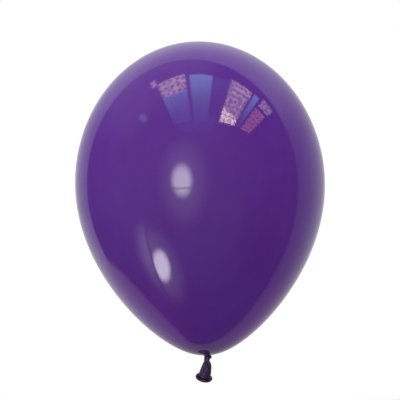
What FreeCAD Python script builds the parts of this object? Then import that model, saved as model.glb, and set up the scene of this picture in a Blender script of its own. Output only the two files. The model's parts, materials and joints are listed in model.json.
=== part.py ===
import FreeCAD, Part
import os
from math import asin, cos, degrees, pi, sin

# An inflated and tied latex balloon, in millimetres.
# +Z runs up the balloon's axis, from the neck to the crown. The origin is the middle of the gathered
# neck, on the plane that touches the bottom of the envelope. +X is to the right and +Y to the back.
# The balloon is one dip-moulded film, so each node is one zone of it that has its own shape and thickness.

# Envelope: a body of revolution. With t from 0 at the crown to pi at the neck, its meridian is
#   z = ENVELOPE_HEIGHT * (1 + cos t) / 2
#   r = SWELL_RADIUS * sin t * (1 + TAPER * cos t + ROUNDING * cos t ^ 2 + SHOULDER * cos t ^ 3)
ENVELOPE_HEIGHT = 353.0
SWELL_RADIUS = 139.3
TAPER = 0.12
ROUNDING = -0.122
SHOULDER = 0.058
ENVELOPE_WALL = 0.4
MERIDIAN_SPANS = 18

# Dimple at the bottom of the envelope, where the film turns in and up to the neck.
DIMPLE_RADIUS = 3.5
DIMPLE_LIP = 1.2
DIMPLE_ROOF = 0.3

# The gathered film is pressed into a stem of one radius below the neck, in the knot and in the waist.
STEM_RADIUS = 2.3
NECK_TOP_RADIUS = 1.7
NECK_BOTTOM = -0.8
KNOT_OFFSET = 0.8

# Overhand knot: an upright core, squeezed to a groove by the turn of film wrapped round it.
KNOT_HEIGHT = 4.6
WRAP_RING_RADIUS = 2.55
WRAP_RADIUS = 1.2
WRAP_CLEARANCE = 0.05

# Waist: the pinched film below the knot, bent towards the tail's resting lean. The lean is in degrees
# from straight down, its heading in degrees from +X towards +Y. The tail hinges just above its own top.
WAIST_BEND_RADIUS = 5.6
TAIL_LEAN = 26.0
TAIL_HEADING = 118.5
HINGE_ABOVE_TAIL = 1.0

# Tail sleeve: the open neck of the balloon, a bell from the waist to the rolled rim.
SLEEVE_LENGTH = 20.0
SLEEVE_STRAIGHT = 3.5
SLEEVE_RADIUS = 6.5
SLEEVE_MIDDLE_RADIUS = 5.1
SLEEVE_MIDDLE_DEPTH = 6.2
SLEEVE_WALL = 0.4
SLEEVE_PLUG = 1.5

# Rolled rim: a round bead of rolled-up film round the mouth.
RIM_DEPTH = 19.5
RIM_BEAD_RADIUS = 1.5
RIM_CLEARANCE = 0.05

KNOT_CENTRE = NECK_BOTTOM - KNOT_HEIGHT / 2
WAIST_TOP = NECK_BOTTOM - KNOT_HEIGHT
UP = FreeCAD.Vector(0, 0, 1)
CENTRE = FreeCAD.Vector(0, 0, 0)


def fullness(t):
    """The factor that turns the meridian's ellipse into a teardrop."""
    c = cos(t)
    return 1 + TAPER * c + ROUNDING * c**2 + SHOULDER * c**3


def fullness_slope(t):
    """How fast fullness changes with t."""
    c = cos(t)
    return -sin(t) * (TAPER + 2 * ROUNDING * c + 3 * SHOULDER * c**2)


def meridian_point(t, depth):
    """A point of the meridian in the XZ plane, depth inside the outer surface."""
    r = SWELL_RADIUS * sin(t) * fullness(t)
    z = ENVELOPE_HEIGHT * (1 + cos(t)) / 2
    dr = SWELL_RADIUS * (cos(t) * fullness(t) + sin(t) * fullness_slope(t))
    dz = -ENVELOPE_HEIGHT * sin(t) / 2
    inward = FreeCAD.Vector(dz, 0, -dr).normalize()
    return FreeCAD.Vector(r, 0, z) + inward * depth


def meridian(t_end, depth):
    """The meridian from the crown to t_end, as one smooth curve depth inside the outer surface."""
    points = [meridian_point(t_end * i / MERIDIAN_SPANS, depth) for i in range(MERIDIAN_SPANS + 1)]
    curve = Part.BSplineCurve()
    curve.interpolate(points)
    return curve.toShape(), points[0], points[-1]


def revolved(edges):
    """The solid that a closed outline in the XZ plane sweeps round the Z axis."""
    face = Part.Face(Part.Wire(edges))
    return face.revolve(CENTRE, UP, 360)


def polyline(points):
    """Straight edges from each point to the next."""
    return [Part.makeLine(a, b) for a, b in zip(points, points[1:])]


def envelope_outline(t_end, depth):
    """Half section of the envelope, depth inside its outer surface, with the dimple at its bottom."""
    curve, crown, bottom = meridian(t_end, depth)
    lip = DIMPLE_LIP - depth
    centre = FreeCAD.Vector(bottom.x, 0, bottom.z + lip)
    middle = centre + FreeCAD.Vector(-lip * cos(pi / 4), 0, -lip * sin(pi / 4))
    inner = centre + FreeCAD.Vector(-lip, 0, 0)
    dimple = Part.Arc(bottom, middle, inner).toShape()
    roof = FreeCAD.Vector(inner.x, 0, inner.z + DIMPLE_ROOF + depth)
    axis_point = FreeCAD.Vector(0, 0, roof.z)
    return [curve, dimple] + polyline([inner, roof, axis_point, crown])


def dimple_angle():
    """The value of t at which the film starts to turn in to the neck."""
    return pi - asin(DIMPLE_RADIUS / (SWELL_RADIUS * fullness(pi)))


def neck_top():
    """The height at which the neck meets the roof of the dimple."""
    return meridian_point(dimple_angle(), 0).z + DIMPLE_LIP + DIMPLE_ROOF


def make_envelope():
    """The stretched film: a closed teardrop shell."""
    outside = revolved(envelope_outline(dimple_angle(), 0))
    inside = revolved(envelope_outline(dimple_angle(), ENVELOPE_WALL))
    return outside.cut(inside).Solids[0]


def make_neck():
    """The gathered stem from the dimple to the knot, leaning to the knot's side."""
    top = Part.Wire(Part.makeCircle(NECK_TOP_RADIUS, FreeCAD.Vector(0, 0, neck_top())))
    bottom = Part.Wire(Part.makeCircle(STEM_RADIUS, FreeCAD.Vector(KNOT_OFFSET, 0, NECK_BOTTOM)))
    return Part.makeLoft([bottom, top], True, True)


def make_knot_core():
    """The upright part of the knot, with the groove that the wrap presses into it."""
    height = KNOT_HEIGHT / 2
    groove = WRAP_RADIUS + WRAP_CLEARANCE
    reach = (groove**2 - (WRAP_RING_RADIUS - STEM_RADIUS) ** 2) ** 0.5
    above = FreeCAD.Vector(STEM_RADIUS, 0, reach)
    below = FreeCAD.Vector(STEM_RADIUS, 0, -reach)
    deepest = FreeCAD.Vector(WRAP_RING_RADIUS - groove, 0, 0)
    top = [FreeCAD.Vector(0, 0, height), FreeCAD.Vector(STEM_RADIUS, 0, height), above]
    bottom = [below, FreeCAD.Vector(STEM_RADIUS, 0, -height), FreeCAD.Vector(0, 0, -height), top[0]]
    core = revolved(polyline(top) + [Part.Arc(above, deepest, below).toShape()] + polyline(bottom))
    core.translate(FreeCAD.Vector(KNOT_OFFSET, 0, KNOT_CENTRE))
    return core


def make_knot_wrap():
    """The turn of film that is wrapped round the core."""
    return Part.makeTorus(WRAP_RING_RADIUS, WRAP_RADIUS, FreeCAD.Vector(KNOT_OFFSET, 0, KNOT_CENTRE), UP)


def place_tail(shape, lean):
    """Turn a piece built straight down from the origin to the tail's lean, and hang it below the knot."""
    bend_axis = FreeCAD.Vector(WAIST_BEND_RADIUS, 0, 0)
    shape.rotate(bend_axis, FreeCAD.Vector(0, -1, 0), lean)
    shape.rotate(CENTRE, UP, TAIL_HEADING)
    shape.translate(FreeCAD.Vector(KNOT_OFFSET, 0, WAIST_TOP))
    return shape


def make_waist():
    """The pinched film between the knot and the tail: a short bend of round section."""
    section = Part.Face(Part.Wire(Part.makeCircle(STEM_RADIUS)))
    bend_axis = FreeCAD.Vector(WAIST_BEND_RADIUS, 0, 0)
    bend = section.revolve(bend_axis, FreeCAD.Vector(0, -1, 0), TAIL_LEAN)
    return place_tail(bend, 0)


def tail_hinge():
    """The point in the waist that the tail hinges about."""
    turn = TAIL_LEAN - degrees(HINGE_ABOVE_TAIL / WAIST_BEND_RADIUS)
    return place_tail(Part.Vertex(CENTRE), turn).Point


def sleeve_wall(depth):
    """The sleeve's bell and its straight end, depth inside its outer surface."""
    top = FreeCAD.Vector(STEM_RADIUS - depth, 0, -SLEEVE_PLUG if depth else 0)
    middle = FreeCAD.Vector(SLEEVE_MIDDLE_RADIUS - depth, 0, -SLEEVE_MIDDLE_DEPTH)
    end_of_bell = FreeCAD.Vector(SLEEVE_RADIUS - depth, 0, SLEEVE_STRAIGHT - SLEEVE_LENGTH)
    mouth = FreeCAD.Vector(SLEEVE_RADIUS - depth, 0, -SLEEVE_LENGTH)
    bell = Part.Arc(top, middle, end_of_bell).toShape()
    return top, [bell, Part.makeLine(end_of_bell, mouth)], mouth


def make_tail_sleeve():
    """The open sleeve below the waist, closed at its top where the film is pinched."""
    top, outer, mouth = sleeve_wall(0)
    inner_top, inner, inner_mouth = sleeve_wall(SLEEVE_WALL)
    plug = [inner_top, FreeCAD.Vector(0, 0, inner_top.z), CENTRE, top]
    edges = outer + [Part.makeLine(mouth, inner_mouth)] + inner + polyline(plug)
    return place_tail(revolved(Part.__sortEdges__(edges)), TAIL_LEAN)


def make_rolled_rim():
    """The bead round the mouth."""
    ring_radius = SLEEVE_RADIUS + RIM_CLEARANCE + RIM_BEAD_RADIUS
    bead = Part.makeTorus(ring_radius, RIM_BEAD_RADIUS, FreeCAD.Vector(0, 0, -RIM_DEPTH), UP)
    return place_tail(bead, TAIL_LEAN)


SUB_PARTS = {
    "envelope": make_envelope,
    "neck": make_neck,
    "knot_core": make_knot_core,
    "knot_wrap": make_knot_wrap,
    "waist": make_waist,
    "tail_sleeve": make_tail_sleeve,
    "rolled_rim": make_rolled_rim,
}

os.makedirs("parts", exist_ok=True)
print("knot hinge", (KNOT_OFFSET, 0.0, KNOT_CENTRE), "tail hinge", [round(c, 3) for c in tail_hinge()])
for node, make in SUB_PARTS.items():
    shape = make()
    shape.exportStep(f"parts/{node}.step")
    box = shape.BoundBox
    print(f"{node}: {shape.ShapeType}, {len(shape.Solids)} solid, valid {shape.isValid()},"
          f" {shape.Volume:.1f} mm3, x {box.XMin:.2f} to {box.XMax:.2f},"
          f" y {box.YMin:.2f} to {box.YMax:.2f}, z {box.ZMin:.2f} to {box.ZMax:.2f}")
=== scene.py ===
"""An inflated and tied latex balloon: film, gathered neck, overhand knot, flared tail and rolled rim."""

import json
from math import cos, exp, pi, radians, sin, tau

import bmesh
import bpy
from bpy.props import FloatProperty, FloatVectorProperty, IntProperty, PointerProperty
from mathutils import Matrix, Vector


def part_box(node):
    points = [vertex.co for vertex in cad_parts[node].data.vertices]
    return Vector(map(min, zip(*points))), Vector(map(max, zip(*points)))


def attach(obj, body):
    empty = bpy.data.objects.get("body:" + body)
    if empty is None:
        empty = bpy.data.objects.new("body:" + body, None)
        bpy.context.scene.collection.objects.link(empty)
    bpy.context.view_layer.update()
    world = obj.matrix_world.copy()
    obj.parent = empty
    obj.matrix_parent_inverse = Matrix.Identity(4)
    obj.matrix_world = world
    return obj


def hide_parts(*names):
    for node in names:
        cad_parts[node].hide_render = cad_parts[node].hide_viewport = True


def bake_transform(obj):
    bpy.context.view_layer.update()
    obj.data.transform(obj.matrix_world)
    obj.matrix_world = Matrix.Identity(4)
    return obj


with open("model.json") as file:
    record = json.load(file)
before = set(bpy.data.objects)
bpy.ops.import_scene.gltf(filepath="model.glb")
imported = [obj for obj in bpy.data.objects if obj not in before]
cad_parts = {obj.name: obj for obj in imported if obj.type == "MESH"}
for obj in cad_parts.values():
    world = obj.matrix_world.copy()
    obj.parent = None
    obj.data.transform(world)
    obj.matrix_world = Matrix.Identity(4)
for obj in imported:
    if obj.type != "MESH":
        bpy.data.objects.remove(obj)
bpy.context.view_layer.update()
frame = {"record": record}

bl_info = {
    "name": "Latex balloon",
    "version": (1, 0, 0),
    "blender": (4, 5, 0),
    "location": "View3D > Sidebar > Balloon",
    "description": "Builds an inflated and knotted latex balloon on its packed frame",
    "category": "Add Mesh",
}

ENVELOPE_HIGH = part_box("envelope")[1]
KNOT_LOW, KNOT_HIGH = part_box("knot_core")
RIM_LOW, RIM_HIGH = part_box("rolled_rim")
HINGES = {joint["name"]: Vector(joint["pos_m"]) for joint in frame["record"]["behaviour"]["joints"]}
KNOT_CENTRE = HINGES["neck_bend"]
WAIST_CENTRE = HINGES["tail_bend"]
RIM_CENTRE = (RIM_LOW + RIM_HIGH) / 2
DOWN = Vector((0, 0, -1))
CORE_SHIFT = -0.0003  # The knot's core stands a little to the left, which leaves room for the loop.


# ---------------------------------------------------------------- settings


class BalloonFilmSettings(bpy.types.PropertyGroup):
    """The stretched envelope."""

    height: FloatProperty(name="Height", description="From the neck to the crown",
                          default=ENVELOPE_HIGH.z, unit="LENGTH")
    swell_radius: FloatProperty(name="Swell radius", description="Radius factor of the teardrop",
                                default=ENVELOPE_HIGH.x * 0.9942, unit="LENGTH")
    taper: FloatProperty(name="Taper", description="How much fuller the crown is than the neck end",
                         default=0.12)
    rounding: FloatProperty(name="Rounding", description="How much the flanks fill or slim", default=-0.122)
    shoulder: FloatProperty(name="Shoulder", description="How high the fullness sits", default=0.058)
    segments: IntProperty(name="Segments", description="Faces round the film", default=224)
    rings: IntProperty(name="Rings", description="Faces from neck to crown", default=176)
    crowding: FloatProperty(name="Crowding", description="How strongly rings crowd to the neck", default=1.5)
    dimple_radius: FloatProperty(name="Dimple radius", description="Where the film turns in to the neck",
                                 default=0.0082, unit="LENGTH")
    dimple_depth: FloatProperty(name="Dimple depth", description="How far the knot is tucked in",
                                default=0.003, unit="LENGTH")
    gathers: IntProperty(name="Gathers", description="Puckers that run in to the neck", default=17)
    gather_depth: FloatProperty(name="Gather depth", description="Height of the puckers",
                                default=0.00013, unit="LENGTH")
    gather_reach: FloatProperty(name="Gather reach", description="How far the puckers run out",
                                default=0.004, unit="LENGTH")
    slim_height: FloatProperty(name="Slim height", description="Where the neck end draws in the most",
                               default=0.012, unit="LENGTH")
    slim_reach: FloatProperty(name="Slim reach", description="How far up the neck end draws in",
                              default=0.025, unit="LENGTH")
    slim_lift: FloatProperty(name="Slim lift", description="How much the neck end draws in",
                             default=0.0005, unit="LENGTH")
    unevenness: FloatProperty(name="Unevenness", description="Height of the film's slow swells",
                              default=0.00022, unit="LENGTH")
    swells: FloatProperty(name="Swells", description="Slow swells in a metre of film", default=11.0)
    seed: FloatProperty(name="Seed", description="Chooses the pattern of swells", default=3.0)


class BalloonKnotSettings(bpy.types.PropertyGroup):
    """The gathered neck and the overhand knot."""

    pleats: IntProperty(name="Pleats", description="Folds round the gathered film", default=11)
    pleat_depth: FloatProperty(name="Pleat depth", description="Depth of a fold, as a share of the radius",
                               default=0.13, subtype="FACTOR")
    neck_radius: FloatProperty(name="Neck radius", description="Radius of the pinched neck",
                               default=0.0025, unit="LENGTH")
    core_radius: FloatProperty(name="Core radius", description="Radius of the upright folds inside the knot",
                               default=0.0031, unit="LENGTH")
    loop_radius: FloatProperty(name="Loop radius", description="Radius of the turn wrapped round the core",
                               default=0.0026, unit="LENGTH")
    strand_radius: FloatProperty(name="Strand radius", description="Half the thickness of the wrapped turn",
                                 default=0.002, unit="LENGTH")
    turns: FloatProperty(name="Turns", description="Turns of the strand round the core", default=1.35)
    slope: FloatProperty(name="Slope", description="Tilt of the turn", default=radians(28), subtype="ANGLE")
    twist: FloatProperty(name="Twist", description="Turn of the pleats in a metre of film, in radians",
                         default=200.0)


class BalloonTailSettings(bpy.types.PropertyGroup):
    """The flared sleeve and its rolled rim."""

    waist_radius: FloatProperty(name="Waist radius", description="Radius of the pinch under the knot",
                                default=0.0026, unit="LENGTH")
    sleeve_radius: FloatProperty(name="Sleeve radius", description="Radius of the sleeve at its mouth",
                                 default=0.0068, unit="LENGTH")
    wall: FloatProperty(name="Wall", description="Thickness of the unstretched film",
                        default=0.00013, unit="LENGTH")
    pleats: IntProperty(name="Pleats", description="Folds that fan out from the knot", default=9)
    pleat_depth: FloatProperty(name="Pleat depth", default=0.18, subtype="FACTOR",
                               description="Depth of a fold at the waist, as a share of the radius")
    bead_radius: FloatProperty(name="Bead radius", description="Half the thickness of the rolled rim",
                               default=0.0016, unit="LENGTH")
    bead_wobble: FloatProperty(name="Bead wobble", default=0.09, subtype="FACTOR",
                               description="Unevenness of the roll, as a share of its radius")


class BalloonColourSettings(bpy.types.PropertyGroup):
    """The latex colours."""

    stretched: FloatVectorProperty(name="Stretched", description="Film stretched thin", subtype="COLOR",
                                   size=4, default=(0.165, 0.038, 0.44, 1), min=0, max=1)
    gathered: FloatVectorProperty(name="Gathered", description="Film gathered at the neck", subtype="COLOR",
                                  size=4, default=(0.056, 0.022, 0.098, 1), min=0, max=1)
    relaxed: FloatVectorProperty(name="Relaxed", description="Thick film of the tail", subtype="COLOR",
                                 size=4, default=(0.042, 0.0135, 0.067, 1), min=0, max=1)


class BalloonStageSettings(bpy.types.PropertyGroup):
    """The camera, floor and lights."""

    camera_distance: FloatProperty(name="Camera distance", default=1.687, unit="LENGTH",
                                   description="From the balloon's axis to the camera")
    camera_height: FloatProperty(name="Camera height", description="Above the neck",
                                 default=0.1752, unit="LENGTH")
    camera_side: FloatProperty(name="Camera side", description="To the right of the axis",
                               default=-0.0007, unit="LENGTH")
    camera_roll: FloatProperty(name="Camera roll", description="Clockwise, seen from behind the camera",
                               default=radians(2.09), subtype="ANGLE")
    lens: FloatProperty(name="Lens", description="Focal length in millimetres", default=135.0)
    floor_drop: FloatProperty(name="Floor drop", description="From the neck down to the floor",
                              default=0.6, unit="LENGTH")
    floor_radius: FloatProperty(name="Floor radius", description="Radius of the floor",
                                default=4.0, unit="LENGTH")


# ---------------------------------------------------------------- node trees


class Sketch:
    """A node tree that is written down one node at a time."""

    def __init__(self, tree):
        self.tree = tree

    def node(self, kind, inputs=None, **settings):
        """Add a node with these settings, and fill or link its inputs by name or number."""
        new = self.tree.nodes.new(kind)
        for name, value in settings.items():
            setattr(new, name, value)
        for key, value in (inputs or {}).items():
            if isinstance(value, bpy.types.NodeSocket):
                self.tree.links.new(value, new.inputs[key])
            else:
                new.inputs[key].default_value = value
        return new

    def math(self, operation, *values):
        """The result of a Math node."""
        return self.node("ShaderNodeMath", dict(enumerate(values)), operation=operation).outputs[0]

    def vector(self, operation, *values):
        """The result of a Vector Math node."""
        new = self.node("ShaderNodeVectorMath", dict(enumerate(values)), operation=operation)
        return new.outputs["Value" if operation in {"DOT_PRODUCT", "LENGTH"} else "Vector"]

    def scale(self, vector, factor):
        """A vector times a number."""
        return self.node("ShaderNodeVectorMath", {0: vector, "Scale": factor}, operation="SCALE").outputs[0]

    def join(self, x, y, z):
        """A vector from its three parts."""
        return self.node("ShaderNodeCombineXYZ", {0: x, 1: y, 2: z}).outputs[0]

    def split(self, vector):
        """The three parts of a vector."""
        return self.node("ShaderNodeSeparateXYZ", {0: vector}).outputs

    def ramp(self, value, low, high, start=0.0, end=1.0):
        """A value eased from start, at low, to end, at high."""
        inputs = {0: value, 1: low, 2: high, 3: start, 4: end}
        return self.node("ShaderNodeMapRange", inputs, interpolation_type="SMOOTHSTEP").outputs[0]

    def noise(self, vector, scale, detail=2.0, roughness=0.5):
        """The value of a Noise Texture."""
        inputs = {"Vector": vector, "Scale": scale, "Detail": detail, "Roughness": roughness}
        return self.node("ShaderNodeTexNoise", inputs).outputs[0]

    def mix(self, factor, first, second):
        """Two colours mixed."""
        return self.node("ShaderNodeMix", {0: factor, 6: first, 7: second}, data_type="RGBA").outputs[2]


def new_tree(name, sockets):
    """An empty Geometry Nodes tree with these named inputs, as a sketch and its input sockets."""
    tree = bpy.data.node_groups.new(name, "GeometryNodeTree")
    tree.interface.new_socket("Geometry", in_out="OUTPUT", socket_type="NodeSocketGeometry")
    for label, kind in sockets.items():
        tree.interface.new_socket(label, in_out="INPUT", socket_type="NodeSocket" + kind)
    sketch = Sketch(tree)
    return sketch, sketch.node("NodeGroupInput").outputs


def close_tree(sketch, geometry, material):
    """End a tree: smooth, made real, and given its material."""
    smooth = sketch.node("GeometryNodeSetShadeSmooth", {"Geometry": geometry})
    real = sketch.node("GeometryNodeRealizeInstances", {"Geometry": smooth.outputs[0]})
    painted = sketch.node("GeometryNodeSetMaterial", {"Geometry": real.outputs[0], "Material": material})
    sketch.node("NodeGroupOutput", {"Geometry": painted.outputs[0]})
    return sketch.tree


def add_piece(name, mesh):
    """An object at the origin for a finished mesh."""
    piece = bpy.data.objects.new(name, mesh)
    bpy.context.scene.collection.objects.link(piece)
    return piece


def grow(name, tree, values, place=None):
    """A plain mesh object made by a Geometry Nodes tree, moved to its place in its mesh."""
    seedling = add_piece(name + "_seedling", bpy.data.meshes.new(name + "_seedling"))
    modifier = seedling.modifiers.new("Grow", "NODES")
    modifier.node_group = tree
    for item in tree.interface.items_tree:
        if item.in_out == "INPUT":
            modifier[item.identifier] = values[item.name]
    graph = bpy.context.evaluated_depsgraph_get()
    mesh = bpy.data.meshes.new_from_object(seedling.evaluated_get(graph), depsgraph=graph)
    bpy.data.objects.remove(seedling)
    mesh.name = name
    if place is not None:
        mesh.transform(place)
    return add_piece(name, mesh)


# ---------------------------------------------------------------- materials


def new_material(name):
    """An empty material, with a sketch of its tree and its Principled shader."""
    material = bpy.data.materials.new(name)
    material.use_nodes = True
    sketch = Sketch(material.node_tree)
    return material, sketch, material.node_tree.nodes["Principled BSDF"]


def wire(sketch, shader, colour, roughness, height, distance):
    """Link a colour, a roughness and a bump height to a shader."""
    bump = sketch.node("ShaderNodeBump", {"Height": height, "Strength": 1.0, "Distance": distance})
    for socket, value in (("Base Color", colour), ("Roughness", roughness), ("Normal", bump.outputs[0])):
        sketch.tree.links.new(value, shader.inputs[socket])


# Colours that the film takes on in places; FOLD_SHADE is not the film's own colour but painted shade for its
# creases.
PALE_FILM = (0.23, 0.07, 0.55, 1)
RED_FILM = (0.21, 0.022, 0.38, 1)
DEEP_FILM = (0.11, 0.02, 0.3, 1)
FOLD_SHADE = (0.012, 0.006, 0.02, 1)
POWDER_WHITE = (0.35, 0.32, 0.38, 1)


def stretched_latex(colours):
    """Glossy film: violet, a little darker where it is less stretched, with slow clouds and dip streaks."""
    material, sketch, shader = new_material("stretched_film")
    shader.inputs["IOR"].default_value = 1.45
    relaxed_from, relaxed_to = 0.004, 0.06
    clouds_per_metre = 14.0
    streaks_per_metre = 9.0
    streak_narrowness = 9.0
    smears_per_metre = 30.0
    grains_per_metre = 900.0
    grain_height = 0.000004
    place = sketch.node("ShaderNodeTexCoord").outputs["Object"]
    x, y, z = sketch.split(place)
    relaxed = sketch.ramp(sketch.vector("LENGTH", place), relaxed_from, relaxed_to, 1.0, 0.0)
    clouds = sketch.noise(place, clouds_per_metre, 3.0, 0.55)
    narrow_x = sketch.math("MULTIPLY", x, streak_narrowness)
    narrow_y = sketch.math("MULTIPLY", y, streak_narrowness)
    streaks = sketch.noise(sketch.join(narrow_x, narrow_y, z), streaks_per_metre, 4.0)
    lighter = sketch.mix(0.16, colours.stretched, PALE_FILM)
    redder = sketch.mix(0.12, colours.stretched, RED_FILM)
    body = sketch.mix(sketch.ramp(clouds, 0.35, 0.65), redder, lighter)
    body = sketch.mix(sketch.ramp(streaks, 0.3, 0.7, 0.0, 0.12), body, DEEP_FILM)
    colour = sketch.mix(relaxed, body, colours.gathered)
    roughness = sketch.ramp(sketch.noise(place, smears_per_metre, 3.0), 0.3, 0.7, 0.04, 0.08)
    wire(sketch, shader, colour, roughness, sketch.noise(place, grains_per_metre), grain_height)
    return material


def folded_latex(name, base, colours, least_rough):
    """Satin film of the neck, knot and tail: dark, with painted shade in its creases, worn bright edges and a
    trace of powder.
    """
    material, sketch, shader = new_material(name)
    shader.inputs["IOR"].default_value = 1.52
    shader.inputs["Sheen Weight"].default_value = 0.07
    shader.inputs["Sheen Roughness"].default_value = 0.4
    dulling = 0.14
    clouds_per_metre = 260.0
    powder_per_metre = 2600.0
    grains_per_metre = 1400.0
    grain_height = 0.00006
    place = sketch.node("ShaderNodeTexCoord").outputs["Object"]
    crease = sketch.node("ShaderNodeAttribute", attribute_name="crease").outputs["Fac"]
    clouds = sketch.noise(place, clouds_per_metre, 4.0, 0.6)
    powder = sketch.noise(place, powder_per_metre)
    worn = sketch.mix(sketch.ramp(clouds, 0.35, 0.7, 0.0, 0.14), base, colours.stretched)
    # Painted shade: the colour darkens towards FOLD_SHADE the deeper a point lies in a crease.
    shaded = sketch.mix(sketch.ramp(crease, 0.0, 1.0, 0.0, 0.55), worn, FOLD_SHADE)
    dusted = sketch.mix(sketch.ramp(powder, 0.62, 0.8, 0.0, 0.12), shaded, POWDER_WHITE)
    roughness = sketch.ramp(clouds, 0.3, 0.7, least_rough, least_rough + dulling)
    grain = sketch.math("MULTIPLY_ADD", clouds, 2.0, sketch.noise(place, grains_per_metre, 3.0))
    wire(sketch, shader, dusted, roughness, grain, grain_height)
    return material


# ---------------------------------------------------------------- shapes


def teardrop(sketch, given, z):
    """Radius and height of the meridian at height z on the ball, and 1 where that is the lower half."""
    from_neck = sketch.math("SUBTRACT", 1.0, sketch.math("DIVIDE", sketch.math("ARCCOSINE", z), pi))
    crowded = sketch.math("POWER", from_neck, given["Crowding"])
    turn = sketch.math("MULTIPLY", sketch.math("SUBTRACT", 1.0, crowded), pi)
    c, s = sketch.math("COSINE", turn), sketch.math("SINE", turn)
    fullness = sketch.math("MULTIPLY_ADD", c, given["Shoulder"], given["Rounding"])
    fullness = sketch.math("MULTIPLY_ADD", fullness, c, given["Taper"])
    fullness = sketch.math("MULTIPLY_ADD", fullness, c, 1.0)
    radius = sketch.math("MULTIPLY", sketch.math("MULTIPLY", given["Swell Radius"], s), fullness)
    height = sketch.math("MULTIPLY", sketch.math("MULTIPLY_ADD", c, 0.5, 0.5), given["Height"])
    off_slim = sketch.math("SUBTRACT", height, given["Slim Height"])
    off_slim = sketch.math("DIVIDE", off_slim, given["Slim Reach"])
    squared = sketch.math("MULTIPLY", off_slim, off_slim)
    slim = sketch.math("EXPONENT", sketch.math("MULTIPLY", squared, -1.0))
    height = sketch.math("MULTIPLY_ADD", slim, given["Slim Lift"], height)
    return radius, height, sketch.math("LESS_THAN", c, 0.0)


def neck_lift(sketch, given, x, y, radius):
    """How far the dimple and the gathers round the neck lift the film."""
    wander_lobes = 3.0
    wander_turn = 1.1
    dimple = sketch.ramp(radius, 0.0, given["Dimple Radius"], given["Dimple Depth"], 0.0)
    angle = sketch.math("ARCTAN2", y, x)
    wander = sketch.math("SINE", sketch.math("MULTIPLY", angle, wander_lobes))
    wander = sketch.math("MULTIPLY", wander, wander_turn)
    ripple = sketch.math("COSINE", sketch.math("MULTIPLY_ADD", angle, given["Gathers"], wander))
    fade = sketch.math("DIVIDE", radius, given["Gather Reach"])
    bell = sketch.math("MULTIPLY", fade, sketch.math("EXPONENT", sketch.math("SUBTRACT", 1.0, fade)))
    pucker = sketch.math("MULTIPLY", sketch.math("MULTIPLY", ripple, bell), given["Gather Depth"])
    return sketch.math("ADD", dimple, pucker)


def envelope_tree():
    """A sphere turned into a teardrop by its meridian's rule, with a dimple, gathers and slow swells."""
    sketch, given = new_tree("Balloon envelope", {
        "Height": "Float", "Swell Radius": "Float", "Taper": "Float", "Rounding": "Float",
        "Shoulder": "Float", "Segments": "Int", "Rings": "Int", "Crowding": "Float",
        "Dimple Radius": "Float", "Dimple Depth": "Float", "Gathers": "Int", "Gather Depth": "Float",
        "Gather Reach": "Float", "Unevenness": "Float", "Swells": "Float", "Seed": "Float",
        "Slim Height": "Float", "Slim Reach": "Float", "Slim Lift": "Float", "Material": "Material"})
    heart_share = 0.55
    steady_radius = 0.03
    ball = sketch.node("GeometryNodeMeshUVSphere",
                       {"Segments": given["Segments"], "Rings": given["Rings"], "Radius": 1.0})
    x, y, z = sketch.split(sketch.node("GeometryNodeInputPosition").outputs[0])
    radius, height, lower_half = teardrop(sketch, given, z)
    lift = sketch.math("MULTIPLY", neck_lift(sketch, given, x, y, radius), lower_half)
    outward = sketch.vector("NORMALIZE", sketch.join(x, y, 0.0))
    rx, ry, _ = sketch.split(sketch.scale(outward, radius))
    place = sketch.join(rx, ry, sketch.math("ADD", height, lift))
    shifted = sketch.vector("ADD", place, sketch.join(given["Seed"], given["Seed"], given["Seed"]))
    swell = sketch.math("SUBTRACT", sketch.noise(shifted, given["Swells"], 1.0), 0.5)
    heart = sketch.join(0.0, 0.0, sketch.math("MULTIPLY", given["Height"], heart_share))
    away = sketch.vector("NORMALIZE", sketch.vector("SUBTRACT", place, heart))
    steady = sketch.ramp(radius, 0.0, steady_radius)
    amount = sketch.math("MULTIPLY", sketch.math("MULTIPLY", swell, given["Unevenness"]), steady)
    shaped = sketch.node("GeometryNodeSetPosition", {"Geometry": ball.outputs["Mesh"], "Position": place,
                                                     "Offset": sketch.scale(away, amount)})
    return close_tree(sketch, shaped.outputs[0], given["Material"])


def mark_crease(sketch, geometry, amount):
    """Note how deep in a fold each point lies, for the painted shade that the film's material lays in its
    folds.
    """
    marked = sketch.node("GeometryNodeStoreNamedAttribute",
                         {"Geometry": geometry, "Name": "crease", "Value": amount}, data_type="FLOAT")
    return marked.outputs[0]


def ribbed_circle(sketch, radius, ribs, depth, points):
    """A profile circle whose radius swells and dips in ribs."""
    circle = sketch.node("GeometryNodeCurvePrimitiveCircle", {"Resolution": points, "Radius": radius})
    place = sketch.node("GeometryNodeInputPosition").outputs[0]
    x, y, _ = sketch.split(place)
    wave = sketch.math("COSINE", sketch.math("MULTIPLY", sketch.math("ARCTAN2", y, x), ribs))
    swell = sketch.scale(place, sketch.math("MULTIPLY_ADD", wave, depth, 1.0))
    # The fold depth feeds the painted shade in the creases.
    marked = mark_crease(sketch, circle.outputs[0], sketch.ramp(wave, 0.1, -1.0, 0.0, 0.8))
    return sketch.node("GeometryNodeSetPosition", {"Geometry": marked, "Position": swell}).outputs[0]


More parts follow.
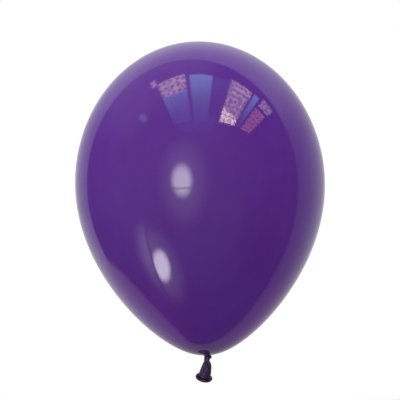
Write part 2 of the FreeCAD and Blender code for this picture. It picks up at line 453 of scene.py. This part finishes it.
def wrap_tree():
    """The strand wrapped round the knot: a pleated rope of film on a spiral, with its ends tucked in."""
    sketch, given = new_tree("Balloon knot wrap", {
        "Ring Radius": "Float", "Strand Radius": "Float", "Turns": "Float", "Rise": "Float",
        "Pleats": "Int", "Pleat Depth": "Float", "Material": "Material"})
    tuck_share, tucked_reach = 0.16, 0.25
    thin_share, thinnest = 0.3, 0.72
    spiral = sketch.node("GeometryNodeCurveSpiral", {
        "Resolution": 96, "Rotations": given["Turns"], "Start Radius": given["Ring Radius"],
        "End Radius": given["Ring Radius"], "Height": given["Rise"]})
    along = sketch.node("GeometryNodeSplineParameter").outputs["Factor"]
    near_end = sketch.math("MINIMUM", along, sketch.math("SUBTRACT", 1.0, along))
    out = sketch.ramp(near_end, 0.0, tuck_share, tucked_reach, 1.0)
    x, y, z = sketch.split(sketch.node("GeometryNodeInputPosition").outputs[0])
    tucked = sketch.join(sketch.math("MULTIPLY", x, out), sketch.math("MULTIPLY", y, out), z)
    path = sketch.node("GeometryNodeSetPosition", {"Geometry": spiral.outputs[0], "Position": tucked})
    profile = ribbed_circle(sketch, given["Strand Radius"], given["Pleats"], given["Pleat Depth"], 48)
    thickness = sketch.ramp(near_end, 0.0, thin_share, thinnest, 1.0)
    strand = sketch.node("GeometryNodeCurveToMesh", {"Curve": path.outputs[0], "Profile Curve": profile,
                                                     "Scale": thickness, "Fill Caps": True})
    return close_tree(sketch, strand.outputs[0], given["Material"])


def rim_tree():
    """The rolled rim: a ring whose thickness wanders, with the groove where the roll ends."""
    sketch, given = new_tree("Balloon rolled rim", {
        "Ring Radius": "Float", "Bead Radius": "Float", "Wobble": "Float", "Groove": "Float",
        "Seed": "Float", "Material": "Material"})
    waves_per_metre = 170.0
    lumps_per_metre = 420.0
    groove_angle = 0.3
    ring = sketch.node("GeometryNodeCurvePrimitiveCircle",
                       {"Resolution": 192, "Radius": given["Ring Radius"]})
    place = sketch.node("GeometryNodeInputPosition").outputs[0]
    shifted = sketch.vector("ADD", place, sketch.join(given["Seed"], 0.0, 0.0))
    wave = sketch.math("SUBTRACT", sketch.noise(shifted, waves_per_metre, 1.0), 0.5)
    rise = sketch.math("MULTIPLY", sketch.math("MULTIPLY", wave, given["Wobble"]), given["Ring Radius"])
    path = sketch.node("GeometryNodeSetPosition",
                       {"Geometry": ring.outputs[0], "Offset": sketch.join(0.0, 0.0, rise)})
    circle = sketch.node("GeometryNodeCurvePrimitiveCircle",
                         {"Resolution": 56, "Radius": given["Bead Radius"]})
    spot = sketch.node("GeometryNodeInputPosition").outputs[0]
    sx, sy, _ = sketch.split(spot)
    round_angle = sketch.math("ABSOLUTE", sketch.math("ARCTAN2", sy, sx))
    grooved = sketch.math("SUBTRACT", 1.0, given["Groove"])
    dip = sketch.scale(spot, sketch.ramp(round_angle, 0.0, groove_angle, grooved, 1.0))
    # The groove's depth feeds the painted shade in the film's material.
    marked = mark_crease(sketch, circle.outputs[0], sketch.ramp(round_angle, groove_angle, 0.0))
    profile = sketch.node("GeometryNodeSetPosition", {"Geometry": marked, "Position": dip})
    lump = sketch.math("SUBTRACT", sketch.noise(shifted, lumps_per_metre), 0.5)
    thickness = sketch.math("MULTIPLY_ADD", lump, sketch.math("MULTIPLY", given["Wobble"], 2.0), 1.0)
    bead = sketch.node("GeometryNodeCurveToMesh",
                       {"Curve": path.outputs[0], "Profile Curve": profile.outputs[0], "Scale": thickness})
    return close_tree(sketch, bead.outputs[0], given["Material"])


def pleat_wave(angle, pleats, turn):
    """Height of uneven pleats at an angle round the film, from -1 in a fold to 1 on a ridge."""
    angle += turn
    # Two slow waves crowd the pleats together in places.
    uneven = pleats * angle + 0.9 * sin(2 * angle + 0.5) + 0.7 * sin(3 * angle + 2.0)
    fold_softness = 0.03
    return 2.05 * (cos(uneven / 2) ** 2 + fold_softness) ** 0.5 - 1.1


def skin(name, stations, material, around=132):
    """A closed skin lofted through stations, from one pole to the other.
    A station is a centre, a direction, a radius, a pleat depth, a count of pleats and their turn."""
    mesh = bmesh.new()
    crease = mesh.verts.layers.float.new("crease")
    full_crease_depth = 1 / 6
    rings = []
    for centre, direction, radius, depth, pleats, turn in stations:
        side = Vector((0, 1, 0)).cross(direction).normalized()
        front = direction.cross(side)
        ring = []
        for i in range(around):
            angle = tau * i / around
            wave = pleat_wave(angle, pleats, turn)
            reach = radius * (1 + depth * wave)
            vertex = mesh.verts.new(centre + (side * cos(angle) + front * sin(angle)) * reach)
            # How deep in a fold this point lies, for the painted shade in the film's material.
            vertex[crease] = max(0.0, -wave) * min(1.0, depth / full_crease_depth)
            ring.append(vertex)
        rings.append(ring)
    for ring, following in zip(rings, rings[1:]):
        for i in range(around):
            j = (i + 1) % around
            mesh.faces.new((ring[i], ring[j], following[j], following[i]))
    for ring, station in ((rings[0], stations[0]), (rings[-1], stations[-1])):
        pole = mesh.verts.new(station[0])
        for i in range(around):
            mesh.faces.new((ring[i], ring[(i + 1) % around], pole))
    bmesh.ops.recalc_face_normals(mesh, faces=mesh.faces)
    for face in mesh.faces:
        face.smooth = True
    data = bpy.data.meshes.new(name)
    mesh.to_mesh(data)
    mesh.free()
    data.materials.append(material)
    return add_piece(name, data)


def ease(t):
    """A smooth step from 0 to 1."""
    t = min(1.0, max(0.0, t))
    return t * t * (3 - 2 * t)


def between(a, b, t):
    """A value or vector t of the way from a to b."""
    return a + (b - a) * t


# ---------------------------------------------------------------- operators


class BALLOON_OT_envelope(bpy.types.Operator):
    """Build the stretched film"""

    bl_idname = "balloon.envelope"
    bl_label = "Envelope"

    def execute(self, context):
        film = context.scene.balloon_film
        values = {
            "Height": film.height, "Swell Radius": film.swell_radius, "Taper": film.taper,
            "Rounding": film.rounding, "Shoulder": film.shoulder, "Segments": film.segments,
            "Rings": film.rings, "Crowding": film.crowding, "Dimple Radius": film.dimple_radius,
            "Dimple Depth": film.dimple_depth, "Gathers": film.gathers, "Gather Depth": film.gather_depth,
            "Gather Reach": film.gather_reach, "Unevenness": film.unevenness, "Swells": film.swells,
            "Seed": film.seed, "Slim Height": film.slim_height, "Slim Reach": film.slim_reach,
            "Slim Lift": film.slim_lift, "Material": stretched_latex(context.scene.balloon_colours)}
        envelope = grow("envelope_film", envelope_tree(), values)
        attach(envelope, "balloon")
        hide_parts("envelope")
        return {"FINISHED"}


class BALLOON_OT_neck(bpy.types.Operator):
    """Build the gathered neck between the film and the knot"""

    bl_idname = "balloon.neck"
    bl_label = "Neck"

    def execute(self, context):
        knot, film = context.scene.balloon_knot, context.scene.balloon_film
        material = folded_latex("gathered_film", context.scene.balloon_colours.gathered,
                                context.scene.balloon_colours, 0.24)
        above_dimple = 0.0006
        into_knot = 0.0012
        flare_share = 0.45
        flare_width = 0.0016
        top = Vector((0, 0, film.dimple_depth + above_dimple))
        bottom = Vector((KNOT_CENTRE.x + CORE_SHIFT, 0, KNOT_HIGH.z - into_knot))
        steps = 22
        stations = []
        for i in range(steps + 1):
            t = i / steps
            centre = between(top, bottom, t)
            radius = knot.neck_radius + (1 - ease(t / flare_share)) * flare_width
            depth = knot.pleat_depth * between(0.6, 1.0, ease(t * 2))
            stations.append((centre, DOWN, radius, depth, knot.pleats, -knot.twist * centre.z))
        neck = skin("neck_gathers", stations, material)
        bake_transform(neck)
        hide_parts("neck")
        return {"FINISHED"}


def build_core(knot, material):
    """The upright folds inside the knot, squeezed where the strand goes round them."""
    half = (KNOT_HIGH.z - KNOT_LOW.z) / 2
    overlap = 1.02
    tucked_radius = 0.0019
    plumpness = 1.3
    squeeze_depth, squeeze_middle, squeeze_width = 0.22, 0.42, 0.2
    steps = 36
    stations = []
    for i in range(steps + 1):
        t = i / steps
        centre = KNOT_CENTRE + Vector((CORE_SHIFT, 0, half * cos(pi * t) * overlap))
        squeeze = 1 - squeeze_depth * exp(-(((t - squeeze_middle) / squeeze_width) ** 2))
        fullness = ease(sin(pi * t) * plumpness)
        radius = between(tucked_radius, knot.core_radius, fullness) * squeeze
        depth = knot.pleat_depth * between(0.3, 0.9, fullness)
        stations.append((centre, DOWN, radius, depth, knot.pleats, -knot.twist * centre.z))
    core = skin("knot_core_folds", stations, material)
    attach(core, "knot")
    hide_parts("knot_core")


def build_loop(knot, material):
    """The strand wrapped round the core, on the slant, with its ends at the back."""
    rise = 0.0021
    start_angle = radians(200)
    centre = KNOT_CENTRE + Vector((0.0009, 0, 0.0005))
    values = {
        "Ring Radius": knot.loop_radius, "Strand Radius": knot.strand_radius, "Turns": knot.turns,
        "Rise": rise, "Pleats": 7, "Pleat Depth": 0.09, "Material": material}
    place = (Matrix.Translation(centre) @ Matrix.Rotation(-knot.slope, 4, "Y")
             @ Matrix.Rotation(start_angle, 4, "Z") @ Matrix.Translation((0, 0, -rise / 2)))
    wrap = grow("knot_wrap_strand", wrap_tree(), values, place)
    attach(wrap, "knot")
    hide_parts("knot_wrap")


class BALLOON_OT_knot(bpy.types.Operator):
    """Build the core of the knot and the strand wrapped round it"""

    bl_idname = "balloon.knot"
    bl_label = "Knot"

    def execute(self, context):
        material = bpy.data.materials["gathered_film"]
        build_core(context.scene.balloon_knot, material)
        build_loop(context.scene.balloon_knot, material)
        return {"FINISHED"}


class BALLOON_OT_tail(bpy.types.Operator):
    """Build the flared sleeve below the knot"""

    bl_idname = "balloon.tail"
    bl_label = "Tail"

    def execute(self, context):
        tail = context.scene.balloon_tail
        material = folded_latex("relaxed_film", context.scene.balloon_colours.relaxed,
                                context.scene.balloon_colours, 0.36)
        knot_foot = Vector((KNOT_CENTRE.x, KNOT_CENTRE.y, KNOT_LOW.z))
        start = knot_foot + Vector((-0.0009, 0, 0.0016))
        elbow = knot_foot + Vector((0.001, 0.0003, -0.0041))
        steps = 46
        inside_from = 8
        waist_share = 0.16
        bell_share = 0.93
        bell_roundness = 1.5
        pleat_fade = 1.15
        mouth_pleats = 0.014
        twist = 0.9

        def station(t, inset):
            """The sleeve's section t of the way down, inset by the film's thickness or not at all."""
            first, second = between(start, elbow, t), between(elbow, RIM_CENTRE, t)
            below_waist = max(0.0, min(1.0, (t - waist_share) / (bell_share - waist_share)))
            bell = 1 - (1 - below_waist) ** bell_roundness
            radius = between(tail.waist_radius, tail.sleeve_radius, bell) - inset
            depth = tail.pleat_depth * (1 - ease(t * pleat_fade)) + mouth_pleats
            centre, direction = between(first, second, t), (second - first).normalized()
            return centre, direction, radius, depth, tail.pleats, twist * t

        stations = [station(i / steps, 0.0) for i in range(steps + 1)]
        stations += [station(i / steps, tail.wall) for i in range(steps, inside_from, -1)]
        sleeve = skin("tail_sleeve_film", stations, material, around=180)
        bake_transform(sleeve)
        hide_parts("waist", "tail_sleeve")
        return {"FINISHED"}


class BALLOON_OT_rim(bpy.types.Operator):
    """Build the rolled rim round the mouth"""

    bl_idname = "balloon.rim"
    bl_label = "Rolled rim"

    def execute(self, context):
        tail = context.scene.balloon_tail
        seat = 0.8
        values = {
            "Ring Radius": tail.sleeve_radius + tail.bead_radius * seat, "Bead Radius": tail.bead_radius,
            "Wobble": tail.bead_wobble, "Groove": 0.12, "Seed": 1.7,
            "Material": bpy.data.materials["relaxed_film"]}
        axis = (RIM_CENTRE - WAIST_CENTRE).normalized()
        place = Matrix.Translation(RIM_CENTRE) @ DOWN.rotation_difference(axis).to_matrix().to_4x4()
        rim = grow("rolled_rim_bead", rim_tree(), values, place)
        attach(rim, "tail")
        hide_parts("rolled_rim")
        return {"FINISHED"}


class BALLOON_OT_stage(bpy.types.Operator):
    """Set up the camera, the floor and the lights"""

    bl_idname = "balloon.stage"
    bl_label = "Stage"

    def execute(self, context):
        stage = context.scene.balloon_stage
        context.scene.view_settings.view_transform = "Standard"
        camera = bpy.data.cameras.new("camera")
        camera.lens = stage.lens
        eye = bpy.data.objects.new("camera", camera)
        context.scene.collection.objects.link(eye)
        place = Matrix.Translation((stage.camera_side, -stage.camera_distance, stage.camera_height))
        level = Matrix.Rotation(pi / 2, 4, "X")
        eye.matrix_world = place @ level @ Matrix.Rotation(-stage.camera_roll, 4, "Z")
        context.scene.camera = eye
        make_floor(stage)
        make_world(context.scene)
        return {"FINISHED"}


def make_floor(stage):
    """A plain pale disc, well below the balloon."""
    mesh = bmesh.new()
    bmesh.ops.create_circle(mesh, cap_ends=True, segments=128, radius=stage.floor_radius)
    bmesh.ops.translate(mesh, verts=mesh.verts, vec=(0, 0, -stage.floor_drop))
    data = bpy.data.meshes.new("floor")
    mesh.to_mesh(data)
    mesh.free()
    material, _, shader = new_material("floor_paint")
    shader.inputs["Base Color"].default_value = (0.9, 0.9, 0.9, 1)
    shader.inputs["Roughness"].default_value = 0.9
    data.materials.append(material)
    floor = add_piece("floor", data)
    floor.visible_diffuse = False
    floor.visible_glossy = False
    floor.visible_shadow = False


def heading(azimuth, elevation):
    """The direction at these degrees: azimuth from the camera's side towards the right, elevation upwards."""
    azimuth, elevation = radians(azimuth), radians(elevation)
    return Vector((sin(azimuth) * cos(elevation), -cos(azimuth) * cos(elevation), sin(elevation)))


def cone(sketch, direction, axis, half_angle, softness=1.2):
    """1 inside a cone of directions round an axis, and 0 outside it."""
    facing = sketch.vector("DOT_PRODUCT", direction, axis)
    return sketch.ramp(facing, cos(radians(half_angle + softness)), cos(radians(half_angle - softness)))


def soft_box(sketch, direction, axis, width, height, edge, lean=0.0):
    """1 on a round lamp seen along an axis, fading to 0 over its edge, and the place on it."""
    right = axis.cross(Vector((0, 0, 1))).normalized()
    depth = sketch.vector("DOT_PRODUCT", direction, axis)
    shallow = sketch.math("MAXIMUM", depth, 0.01)
    across = sketch.math("DIVIDE", sketch.vector("DOT_PRODUCT", direction, right), shallow)
    upward = sketch.math("DIVIDE", sketch.vector("DOT_PRODUCT", direction, right.cross(axis)), shallow)
    sideways = sketch.math("MULTIPLY_ADD", upward, lean, across)
    span = sketch.vector("LENGTH", sketch.join(sketch.math("DIVIDE", sideways, width),
                                               sketch.math("DIVIDE", upward, height), 0.0))
    return sketch.ramp(span, 1 + edge, 1 - edge), across, upward


def stripe(sketch, value, low, high, edge):
    """1 where a value lies between low and high."""
    rising = sketch.ramp(value, low - edge, low + edge)
    return sketch.math("MULTIPLY", rising, sketch.ramp(value, high + edge, high - edge))


# Panes of a glass roof seen from the balloon, in units of the roof's height above it:
# left and right edges, far and near edges, where the wall outside gives way to sky, the wall's colour,
# how much brighter the wall is where the sun falls on it, and how clear the glass is.
PALE_WALL = (4.6, 3.4, 3.0, 1)
BRICK_WALL = (4.0, 1.4, 1.1, 1)
ROOF_PANES = (
    (-0.50, -0.13, -0.02, 0.97, 0.31, PALE_WALL, 1.0, 1.0),
    (-0.08, 0.20, 0.01, 0.97, -1.0, PALE_WALL, 1.0, 1.0),
    (0.22, 0.43, 0.02, 0.97, -1.0, PALE_WALL, 1.0, 0.16),
    (0.44, 0.80, -0.04, 0.95, 2.0, PALE_WALL, 2.9, 1.0),
    (0.84, 0.95, -0.06, 0.95, -1.0, PALE_WALL, 1.0, 0.9),
    (1.00, 1.32, 0.20, 0.96, 2.0, BRICK_WALL, 1.3, 1.0),
    (1.02, 1.36, -0.15, 0.11, 2.0, PALE_WALL, 1.0, 0.7),
    (-0.58, -0.5, -0.17, -0.01, 2.0, PALE_WALL, 1.0, 0.8),
    (-1.10, -0.95, 0.30, 0.52, -1.0, PALE_WALL, 1.0, 0.7),
)


SKY_NEAR = (0.05, 0.5, 1.3, 1)
SKY_FAR = (1.0, 2.9, 4.4, 1)
SKY_SPILL = (0.04, 0.3, 0.9)


def facade_light(sketch, across, along):
    """How bright a wall beyond the roof is: stained, with rows of darker windows."""
    window_columns = 75.0
    window_rows = 52.0
    stains_per_unit = 16.0
    columns = sketch.math("SINE", sketch.math("MULTIPLY", across, window_columns))
    rows = sketch.math("SINE", sketch.math("MULTIPLY", along, window_rows))
    windows = sketch.math("MULTIPLY", sketch.ramp(columns, 0.0, 0.5), sketch.ramp(rows, 0.1, 0.5))
    stains = sketch.noise(sketch.join(across, along, 0.0), stains_per_unit)
    stains = sketch.ramp(stains, 0.38, 0.62, 0.6, 1.35)
    return sketch.math("MULTIPLY", stains, sketch.ramp(windows, 0.0, 1.0, 1.1, 0.35))


def roof_glass(sketch, direction):
    """The light of the glass roof: sky and sunlit walls beyond its panes."""
    x, y, z = sketch.split(direction)
    horizon = 0.02
    height = sketch.math("MAXIMUM", z, horizon)
    across = sketch.math("DIVIDE", x, height)
    along = sketch.math("DIVIDE", sketch.math("MULTIPLY", y, -1.0), height)
    sky = sketch.mix(sketch.ramp(along, -0.1, 0.95), SKY_FAR, SKY_NEAR)
    facade = facade_light(sketch, across, along)
    sun_line = sketch.math("SUBTRACT", along, sketch.math("MULTIPLY", across, 0.5))
    light = sketch.join(0.0, 0.0, 0.0)
    for left, right, far, near, skyline, wall, sunlit, clearness in ROOF_PANES:
        inside = sketch.math("MULTIPLY", stripe(sketch, across, left, right, 0.008),
                             stripe(sketch, along, far, near, 0.015))
        brightness = sketch.math("MULTIPLY", facade, sketch.ramp(sun_line, 0.33, 0.42, 0.9, sunlit))
        below_sky = sketch.ramp(along, skyline - 0.02, skyline + 0.02)
        view = sketch.mix(below_sky, sketch.scale(wall[:3], brightness), sky)
        light = sketch.vector("ADD", light, sketch.scale(view, sketch.math("MULTIPLY", inside, clearness)))
    spill = sketch.math("MULTIPLY", stripe(sketch, across, -0.45, 0.35, 0.15),
                        stripe(sketch, along, 0.9, 1.25, 0.2))
    light = sketch.vector("ADD", light, sketch.scale(SKY_SPILL, spill))
    return sketch.scale(light, sketch.math("GREATER_THAN", z, horizon))


def cord_and_band(sketch, direction):
    """Distance from a taut cord, 1 on the cord, and the pale band beside it."""
    _, _, z = sketch.split(direction)
    cord_width = 0.012
    from_cord = sketch.vector("DOT_PRODUCT", direction, Vector((-0.62, 0.733, 0.278)))
    cord = stripe(sketch, from_cord, -cord_width, cord_width, cord_width)
    band = sketch.math("MULTIPLY", sketch.ramp(from_cord, 0.24, 0.03), sketch.ramp(from_cord, 0.0, 0.02))
    band = sketch.math("MULTIPLY", band, stripe(sketch, z, -0.72, -0.42, 0.12))
    return from_cord, cord, band


def lamps(sketch, direction):
    """The light of two round soft boxes and their glow, and of a pale band beside a taut cord."""
    upper_light, upper_light_at_bar, upper_glow_light = 8.8, 4.2, 1.15
    lower_light, lower_glow_light = 10.5, 1.3
    band_light = 0.7
    upper, across, upward = soft_box(sketch, direction, heading(-16, 2.5), 0.145, 0.18, 0.42)
    lower, _, _ = soft_box(sketch, direction, heading(-57.5, -48.5), 0.134, 0.14, 0.32, lean=0.32)
    upper_glow, _, _ = soft_box(sketch, direction, heading(-15, 2), 0.29, 0.42, 0.75)
    lower_glow, _, _ = soft_box(sketch, direction, heading(-58, -46), 0.23, 0.3, 0.8)
    bar = sketch.math("MULTIPLY", stripe(sketch, upward, -0.112, -0.08, 0.012),
                      stripe(sketch, across, -0.2, 0.3, 0.03))
    upper = sketch.math("MULTIPLY", upper, sketch.ramp(bar, 0.0, 1.0, upper_light, upper_light_at_bar))
    from_cord, cord, band = cord_and_band(sketch, direction)
    beside_cord = sketch.math("MULTIPLY", lower, sketch.ramp(from_cord, 0.0, -0.03))
    light = sketch.math("MULTIPLY_ADD", beside_cord, lower_light, upper)
    glow = sketch.math("MULTIPLY", lower_glow, lower_glow_light)
    glow = sketch.math("MULTIPLY_ADD", upper_glow, upper_glow_light, glow)
    glow = sketch.math("MULTIPLY_ADD", band, band_light, glow)
    glow = sketch.math("MULTIPLY", glow, sketch.ramp(cord, 0.0, 1.0, 1.0, 0.25))
    return sketch.scale(sketch.join(1.0, 0.97, 0.98), sketch.math("ADD", light, glow))


def dim_room(sketch, direction):
    """The light of the room in front: dim walls, a paler ceiling, a reddish patch, the roof and the lamps."""
    x, y, z = sketch.split(direction)
    dimmest, brightest = 0.09, 0.36
    ceiling_light = 0.36
    ahead = sketch.vector("DOT_PRODUCT", direction, heading(-25, 0))
    walls = sketch.math("MULTIPLY", sketch.ramp(ahead, -0.1, 0.9, dimmest, brightest),
                        sketch.ramp(z, -0.9, -0.3, 0.7, 1.0))
    room = sketch.scale(sketch.join(1.0, 1.0, 1.05), walls)
    ceiling = sketch.math("MULTIPLY", sketch.ramp(z, 0.3, 0.75, 0.0, ceiling_light),
                          sketch.ramp(x, 0.35, 0.0))
    ceiling = sketch.math("MULTIPLY", ceiling, sketch.ramp(y, -0.5, -0.1))
    room = sketch.vector("ADD", room, sketch.join(ceiling, ceiling, ceiling))
    red_patch, _, _ = soft_box(sketch, direction, heading(-105, -60), 0.4, 0.3, 0.8)
    room = sketch.vector("ADD", room, sketch.scale(sketch.join(0.14, 0.0, 0.02), red_patch))
    lights = sketch.vector("ADD", roof_glass(sketch, direction), lamps(sketch, direction))
    return sketch.vector("ADD", room, lights)


def paper_sheet(sketch, direction):
    """1 where white paper stands behind the balloon or sweeps under it, and the colour of its light."""
    x, y, z = sketch.split(direction)
    light_overhead = 0.88
    most_warmth = 0.12
    wall = cone(sketch, direction, heading(167, 2.5), 67.5)
    sweep = cone(sketch, direction, heading(-140, -41), 19.5, 2.5)
    light = sketch.math("MULTIPLY_ADD", y, 0.38, 0.31)
    light = sketch.math("MULTIPLY", light, sketch.ramp(z, -0.9, -0.1, 0.72, 1.0))
    above = sketch.math("MULTIPLY", sketch.ramp(z, 0.3, 0.65),
                        sketch.math("SUBTRACT", light_overhead, light))
    low_left = sketch.math("MULTIPLY", sketch.ramp(x, -0.1, -0.6), sketch.ramp(z, -0.05, -0.35, 0.0, 0.2))
    light = sketch.math("ADD", light, sketch.math("ADD", above, low_left))
    warmth = sketch.ramp(z, -0.1, -0.7, 0.0, most_warmth)
    red = sketch.math("MULTIPLY", light, sketch.math("ADD", 1.0, warmth))
    green = sketch.math("MULTIPLY", light, sketch.math("SUBTRACT", 1.0, warmth))
    return sketch.math("MAXIMUM", wall, sweep), sketch.join(red, green, light)


def even_light(sketch, direction):
    """The soft light that matt surfaces get: most from above, and less from the right."""
    x, y, z = sketch.split(direction)
    least = 0.02
    light = sketch.math("MULTIPLY_ADD", x, -0.05, sketch.math("MULTIPLY_ADD", y, 0.12, 0.58))
    light = sketch.math("MULTIPLY_ADD", z, 0.33, light)
    light = sketch.math("SUBTRACT", light, sketch.ramp(x, 0.35, 0.85, 0.0, 0.09))
    light = sketch.math("MAXIMUM", light, least)
    return sketch.join(light, light, light)


def make_world(scene):
    """A studio: white paper behind the balloon, and a dim room in front with a glass roof and two lamps.
    The camera sees plain white, gloss sees the studio, and matt surfaces get its even light from above."""
    world = bpy.data.worlds.new("studio")
    world.use_nodes = True
    world.node_tree.nodes.clear()
    sketch = Sketch(world.node_tree)
    direction = sketch.node("ShaderNodeTexCoord").outputs["Generated"]
    on_paper, paper_colour = paper_sheet(sketch, direction)
    studio = sketch.mix(on_paper, dim_room(sketch, direction), paper_colour)
    path = sketch.node("ShaderNodeLightPath").outputs
    colour = sketch.mix(path["Is Glossy Ray"], even_light(sketch, direction), studio)
    colour = sketch.mix(path["Is Camera Ray"], colour, (1.0, 1.0, 1.0, 1))
    background = sketch.node("ShaderNodeBackground", {"Color": colour, "Strength": 1.0})
    sketch.node("ShaderNodeOutputWorld", {"Surface": background.outputs[0]})
    scene.world = world


class BALLOON_PT_panel(bpy.types.Panel):
    """Balloon tools"""

    bl_label = "Latex balloon"
    bl_space_type = "VIEW_3D"
    bl_region_type = "UI"
    bl_category = "Balloon"

    def draw(self, context):
        for settings in SETTINGS:
            box = self.layout.box()
            for name in SETTINGS[settings].__annotations__:
                box.prop(getattr(context.scene, settings), name)
        for operator in OPERATORS:
            self.layout.operator(operator.bl_idname)


SETTINGS = {
    "balloon_film": BalloonFilmSettings,
    "balloon_knot": BalloonKnotSettings,
    "balloon_tail": BalloonTailSettings,
    "balloon_colours": BalloonColourSettings,
    "balloon_stage": BalloonStageSettings,
}
OPERATORS = (BALLOON_OT_stage, BALLOON_OT_envelope, BALLOON_OT_neck, BALLOON_OT_knot, BALLOON_OT_tail,
             BALLOON_OT_rim)


def register():
    """Register the settings, the operators and the panel."""
    for name, settings in SETTINGS.items():
        bpy.utils.register_class(settings)
        setattr(bpy.types.Scene, name, PointerProperty(type=settings))
    for operator in OPERATORS:
        bpy.utils.register_class(operator)
    bpy.utils.register_class(BALLOON_PT_panel)


def unregister():
    """Take the panel, the operators and the settings away again."""
    bpy.utils.unregister_class(BALLOON_PT_panel)
    for operator in reversed(OPERATORS):
        bpy.utils.unregister_class(operator)
    for name, settings in SETTINGS.items():
        delattr(bpy.types.Scene, name)
        bpy.utils.unregister_class(settings)


def main():
    """Build the balloon and its stage."""
    register()
    for step in ("stage", "envelope", "neck", "knot", "tail", "rim"):
        getattr(bpy.ops.balloon, step)()


if __name__ == "__main__":
    main()
